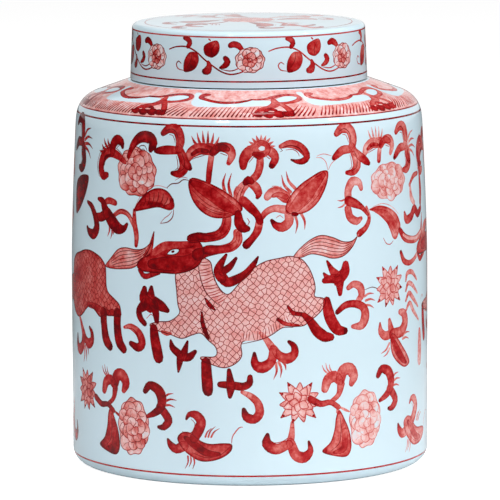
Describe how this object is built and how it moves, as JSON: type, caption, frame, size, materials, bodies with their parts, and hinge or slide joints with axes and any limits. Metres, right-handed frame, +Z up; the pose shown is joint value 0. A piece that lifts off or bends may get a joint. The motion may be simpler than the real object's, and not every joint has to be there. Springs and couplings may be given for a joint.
{
  "type": "ginger jar",
  "caption": "Round lidded porcelain jar with upright sides, sloping shoulder and low neck, closed by a flat cap-shaped lid that lifts off.",
  "frame": {"origin": "centre of the foot ring on the surface the jar stands on", "axes": "+Z up along the jar's axis; -Y is the side of the painting that faces the viewer"},
  "size_m": [0.2, 0.2, 0.2482],
  "materials": {
    "glazed_porcelain": "clear gloss glaze over a pale body, painted in iron red",
    "glazed_porcelain_lid": "clear gloss glaze over a pale body, painted in iron red"
  },
  "bodies": {
    "jar": {"jar_body": "glazed_porcelain"},
    "lid": {"lid": "glazed_porcelain_lid"}
  },
  "joints": [
    {"name": "lid_lift", "type": "slide", "parent": "jar", "child": "lid", "axis": [0, 0, 1], "range_m": [0, 0.06]}
  ]
}
